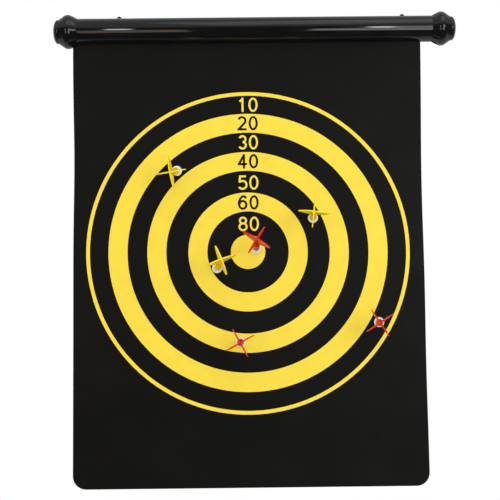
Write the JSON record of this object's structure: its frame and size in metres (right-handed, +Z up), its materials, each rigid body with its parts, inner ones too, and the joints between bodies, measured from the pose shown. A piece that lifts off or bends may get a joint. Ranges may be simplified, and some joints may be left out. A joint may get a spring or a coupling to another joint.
{
  "type": "magnetic dartboard",
  "caption": "Roll-up magnetic dartboard: a flexible black target sheet hangs from a slotted tube with finials, with ball-nosed magnetic darts on it.",
  "frame": {"origin": "midway between the two hanger holes, on the hangers' rear face, which lies on the wall", "axes": "+Z up, +X to the viewer's right, +Y into the wall; the viewer looks along +Y"},
  "size_m": [0.4182, 0.0665, 0.4897],
  "materials": {
    "tube_plastic": "high-gloss black extruded ABS",
    "cap_plastic": "gloss black injection-moulded ABS",
    "hanger_steel": "black-coated pressed steel",
    "rivet_steel": "plain steel",
    "rod_steel": "drawn steel rod",
    "sleeve_vinyl": "extruded soft vinyl",
    "core_rubber": "iron-filled flexible sheet",
    "face_vinyl": "matte black coated face",
    "ink_yellow": "screen-printed yellow ink",
    "magnet_chrome": "nickel-plated ball magnet",
    "dart_yellow": "moulded yellow plastic",
    "dart_red": "moulded red plastic"
  },
  "bodies": {
    "roller": {"tube": "tube_plastic", "hanger_left": "hanger_steel", "hanger_right": "hanger_steel", "rivets_left": "rivet_steel", "rivets_right": "rivet_steel"},
    "cap_left": {"end_cap_left": "cap_plastic"},
    "cap_right": {"end_cap_right": "cap_plastic"},
    "rod": {"hem_rod": "rod_steel"},
    "sheet": {"hem_sleeve": "sleeve_vinyl", "sheet_core": "core_rubber", "front_face": "face_vinyl", "back_face": "face_vinyl", "print_rings": "ink_yellow", "print_numerals": "ink_yellow"},
    "magnet_1": {"dart_1_magnet": "magnet_chrome"},
    "dart_1": {"dart_1_barrel": "dart_yellow", "dart_1_flight": "dart_yellow"},
    "magnet_2": {"dart_2_magnet": "magnet_chrome"},
    "dart_2": {"dart_2_barrel": "dart_yellow", "dart_2_flight": "dart_yellow"},
    "magnet_3": {"dart_3_magnet": "magnet_chrome"},
    "dart_3": {"dart_3_barrel": "dart_yellow", "dart_3_flight": "dart_yellow"},
    "magnet_4": {"dart_4_magnet": "magnet_chrome"},
    "dart_4": {"dart_4_barrel": "dart_red", "dart_4_flight": "dart_red"},
    "magnet_5": {"dart_5_magnet": "magnet_chrome"},
    "dart_5": {"dart_5_barrel": "dart_red", "dart_5_flight": "dart_red"},
    "magnet_6": {"dart_6_magnet": "magnet_chrome"},
    "dart_6": {"dart_6_barrel": "dart_red", "dart_6_flight": "dart_red"}
  },
  "joints": [
    {"name": "cap_left_pull", "type": "slide", "parent": "roller", "child": "cap_left", "axis": [-1, 0, 0], "range_m": [0, 0.03]},
    {"name": "cap_right_pull", "type": "slide", "parent": "roller", "child": "cap_right", "axis": [1, 0, 0], "range_m": [0, 0.03]},
    {"name": "rod_slide", "type": "slide", "parent": "roller", "child": "rod", "axis": [1, 0, 0], "range_m": [0, 0.0165]},
    {"name": "sheet_swing", "type": "hinge", "parent": "rod", "child": "sheet", "pos_m": [-0.01495, -0.01475, -0.0183], "axis": [1, 0, 0], "range_deg": [-10, 10]},
    {"name": "dart_1_lift", "type": "slide", "parent": "sheet", "child": "magnet_1", "axis": [0, -1, 0], "range_m": [0, 0.08]},
    {"name": "dart_1_rock", "type": "hinge", "parent": "magnet_1", "child": "dart_1", "pos_m": [-0.08815, -0.02085, -0.1571], "axis": [1, 0, 0], "range_deg": [-30, 30]},
    {"name": "dart_2_lift", "type": "slide", "parent": "sheet", "child": "magnet_2", "axis": [0, -1, 0], "range_m": [0, 0.08]},
    {"name": "dart_2_rock", "type": "hinge", "parent": "magnet_2", "child": "dart_2", "pos_m": [0.05075, -0.02085, -0.2073], "axis": [1, 0, 0], "range_deg": [-30, 30]},
    {"name": "dart_3_lift", "type": "slide", "parent": "sheet", "child": "magnet_3", "axis": [0, -1, 0], "range_m": [0, 0.08]},
    {"name": "dart_3_rock", "type": "hinge", "parent": "magnet_3", "child": "dart_3", "pos_m": [-0.04775, -0.02085, -0.2577], "axis": [1, 0, 0], "range_deg": [-30, 30]},
    {"name": "dart_4_lift", "type": "slide", "parent": "sheet", "child": "magnet_4", "axis": [0, -1, 0], "range_m": [0, 0.08]},
    {"name": "dart_4_rock", "type": "hinge", "parent": "magnet_4", "child": "dart_4", "pos_m": [-0.02455, -0.02085, -0.333], "axis": [1, 0, 0], "range_deg": [-30, 30]},
    {"name": "dart_5_lift", "type": "slide", "parent": "sheet", "child": "magnet_5", "axis": [0, -1, 0], "range_m": [0, 0.08]},
    {"name": "dart_5_rock", "type": "hinge", "parent": "magnet_5", "child": "dart_5", "pos_m": [0.11655, -0.02085, -0.3144], "axis": [1, 0, 0], "range_deg": [-30, 30]},
    {"name": "dart_6_lift", "type": "slide", "parent": "sheet", "child": "magnet_6", "axis": [0, -1, 0], "range_m": [0, 0.08]},
    {"name": "dart_6_rock", "type": "hinge", "parent": "magnet_6", "child": "dart_6", "pos_m": [-0.00775, -0.02085, -0.2383], "axis": [1, 0, 0], "range_deg": [-30, 30]}
  ]
}
